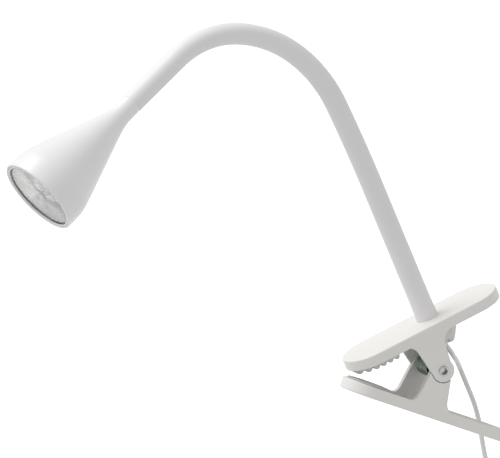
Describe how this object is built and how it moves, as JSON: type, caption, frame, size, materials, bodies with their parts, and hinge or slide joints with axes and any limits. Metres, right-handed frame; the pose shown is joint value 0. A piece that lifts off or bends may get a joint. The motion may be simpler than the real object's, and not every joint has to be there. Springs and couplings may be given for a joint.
{
  "type": "clip on reading lamp",
  "caption": "Clip-on LED reading lamp: sprung clamp with grip pads, flexible neck, conical shade, and a corded lead with an in-line rocker switch and a plug-in driver.",
  "frame": {"origin": "middle of the crest plane of the upper grip pad, where the top of the gripped board bears", "axes": "+Z is the upper jaw plate's outward normal, up when clamped to a level board; +X runs back along the squeeze levers; the neck arches over towards -X; +Y is the side on which the cord leaves"},
  "size_m": [0.2971, 0.1286, 0.5911],
  "materials": {
    "clamp_white": "satin",
    "neck_skin": "matte",
    "shade_white": "satin",
    "pad_light": "matte",
    "pad_grey": "matte",
    "rivet_steel": "bright zinc",
    "spring_steel": "dark oiled",
    "fixing_steel": "zinc plated",
    "core_steel": "plain spiral steel",
    "bush_nylon": "matte",
    "grommet": "matte",
    "connector": "natural nylon",
    "cord_pvc": "satin PVC",
    "tie": "woven hook and loop",
    "fitting_white": "satin",
    "rocker_white": "gloss",
    "plug_metal": "nickel plated",
    "sink_aluminium": "cast",
    "board": "white solder mask",
    "led_yellow": "phosphor",
    "reflector": "vacuum metallised",
    "lens_clear": "clear polished"
  },
  "bodies": {
    "clamp": {"upper_jaw": "clamp_white", "upper_grip_pad": "pad_light", "outlet_cover": "clamp_white", "cover_screw_1": "rivet_steel", "cover_screw_2": "rivet_steel", "pivot_pin": "rivet_steel", "spring_bush": "bush_nylon", "spring_coil": "spring_steel", "neck_stub": "fixing_steel", "neck_washer": "fixing_steel", "neck_nut": "fixing_steel", "cord_grommet": "grommet", "wire_joint": "connector", "neck_sleeve_0": "neck_skin", "neck_core_0": "core_steel", "cord_lead": "cord_pvc", "cord_mid": "cord_pvc", "cord_end": "cord_pvc", "cord_coil": "cord_pvc", "coil_tie": "tie", "switch_base": "fitting_white", "switch_cover": "fitting_white", "rocker_axle": "rivet_steel", "driver_body": "fitting_white", "driver_face": "fitting_white", "driver_relief": "cord_pvc", "plug_pin_1": "plug_metal", "plug_pin_2": "plug_metal"},
    "lower_clamp": {"lower_jaw": "clamp_white", "lower_grip_pad": "pad_grey", "spring_leg": "spring_steel"},
    "rocker": {"switch_rocker": "rocker_white"},
    "neck_1": {"neck_sleeve_1": "neck_skin", "neck_core_1": "core_steel"},
    "neck_2": {"neck_sleeve_2": "neck_skin", "neck_core_2": "core_steel"},
    "neck_3": {"neck_sleeve_3": "neck_skin", "neck_core_3": "core_steel"},
    "neck_4": {"neck_sleeve_4": "neck_skin", "neck_core_4": "core_steel"},
    "neck_5": {"neck_sleeve_5": "neck_skin", "neck_core_5": "core_steel"},
    "head": {"neck_sleeve_6": "neck_skin", "neck_core_6": "core_steel", "shade": "shade_white", "heat_sink": "sink_aluminium", "led_board": "board", "led_chip": "led_yellow", "reflector": "reflector", "lens": "lens_clear", "bezel": "shade_white", "board_screw_1": "rivet_steel", "board_screw_2": "rivet_steel"}
  },
  "joints": [
    {"name": "jaw_pivot", "type": "hinge", "parent": "clamp", "child": "lower_clamp", "pos_m": [0.039, 0, -0.0216], "axis": [0, -1, 0], "range_deg": [0, 45], "stiffness_Nm_per_rad": 0.75, "springref_deg": -74.48},
    {"name": "neck_joint_1", "type": "hinge", "parent": "clamp", "child": "neck_1", "pos_m": [0.0488, 0, 0.057], "axis": [0.1736, -0.9848, 0], "range_deg": [-23, 23]},
    {"name": "neck_joint_2", "type": "hinge", "parent": "neck_1", "child": "neck_2", "pos_m": [0.0488, 0, 0.112], "axis": [-0.9848, -0.1736, 0], "range_deg": [-23, 23]},
    {"name": "neck_joint_3", "type": "hinge", "parent": "neck_2", "child": "neck_3", "pos_m": [0.04705, -0.00031, 0.17997], "axis": [0.1736, -0.9848, 0], "range_deg": [-23, 23]},
    {"name": "neck_joint_4", "type": "hinge", "parent": "neck_3", "child": "neck_4", "pos_m": [0.03279, -0.00282, 0.22731], "axis": [0.1736, -0.9848, 0], "range_deg": [-23, 23]},
    {"name": "neck_joint_5", "type": "hinge", "parent": "neck_4", "child": "neck_5", "pos_m": [-0.00275, -0.00909, 0.26097], "axis": [-0.4471, -0.0788, -0.891], "range_deg": [-23, 23]},
    {"name": "neck_joint_6", "type": "hinge", "parent": "neck_5", "child": "head", "pos_m": [-0.05063, -0.01753, 0.26608], "axis": [0.1736, -0.9848, 0], "range_deg": [-23, 23]},
    {"name": "rocker_tilt", "type": "hinge", "parent": "clamp", "child": "rocker", "pos_m": [0.055, 0.0215, -0.141], "axis": [1, 0, 0], "range_deg": [0, 16]}
  ]
}
